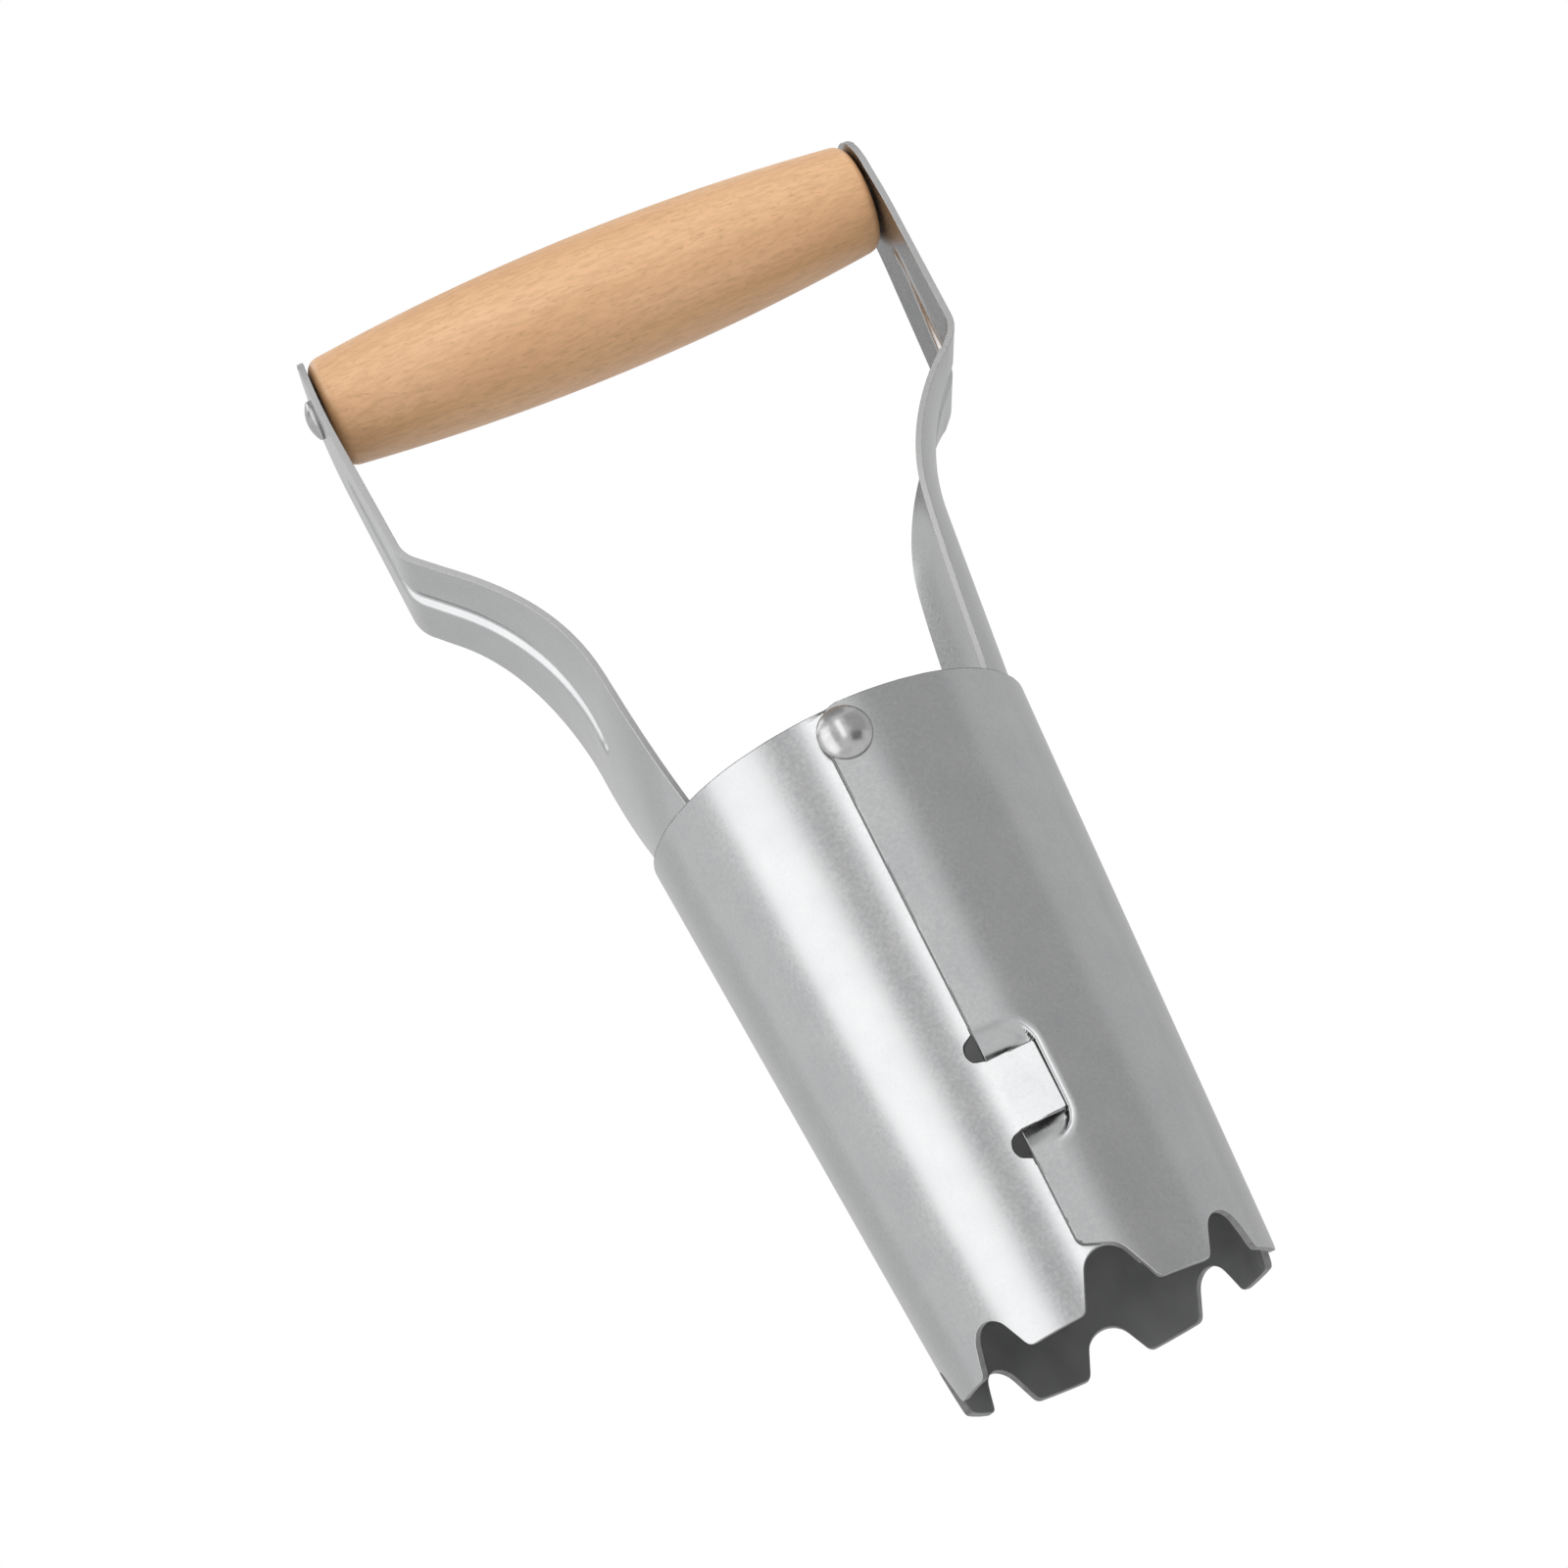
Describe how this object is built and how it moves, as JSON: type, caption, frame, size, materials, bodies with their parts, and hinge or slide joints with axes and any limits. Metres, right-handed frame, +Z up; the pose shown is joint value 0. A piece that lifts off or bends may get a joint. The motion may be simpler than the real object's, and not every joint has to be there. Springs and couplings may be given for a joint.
{
  "type": "hand bulb planter",
  "caption": "Hand bulb planter: a tapered, toothed steel sleeve with a lapped, riveted seam, carried by bent strap arms and a turned wooden grip that spins on its rod.",
  "frame": {"origin": "on the sleeve's axis, in the plane of the tooth tips that the planter stands on", "axes": "+Z up the sleeve towards the grip, X along the grip, -Y the front with the lapped seam and its rivet"},
  "size_m": [0.1146, 0.0729, 0.2231],
  "materials": {
    "galvanised_sheet": "satin zinc",
    "bright_rivet": "bright",
    "beech": "clear lacquer"
  },
  "bodies": {
    "planter": {"sleeve": "galvanised_sheet", "seam_rivet": "bright_rivet", "left_arm": "galvanised_sheet", "right_arm": "galvanised_sheet", "grip_rod": "bright_rivet"},
    "turning_grip": {"grip": "beech"}
  },
  "joints": [
    {"name": "grip_turn", "type": "hinge", "parent": "planter", "child": "turning_grip", "pos_m": [0, 0, 0.21], "axis": [1, 0, 0], "continuous": true}
  ]
}
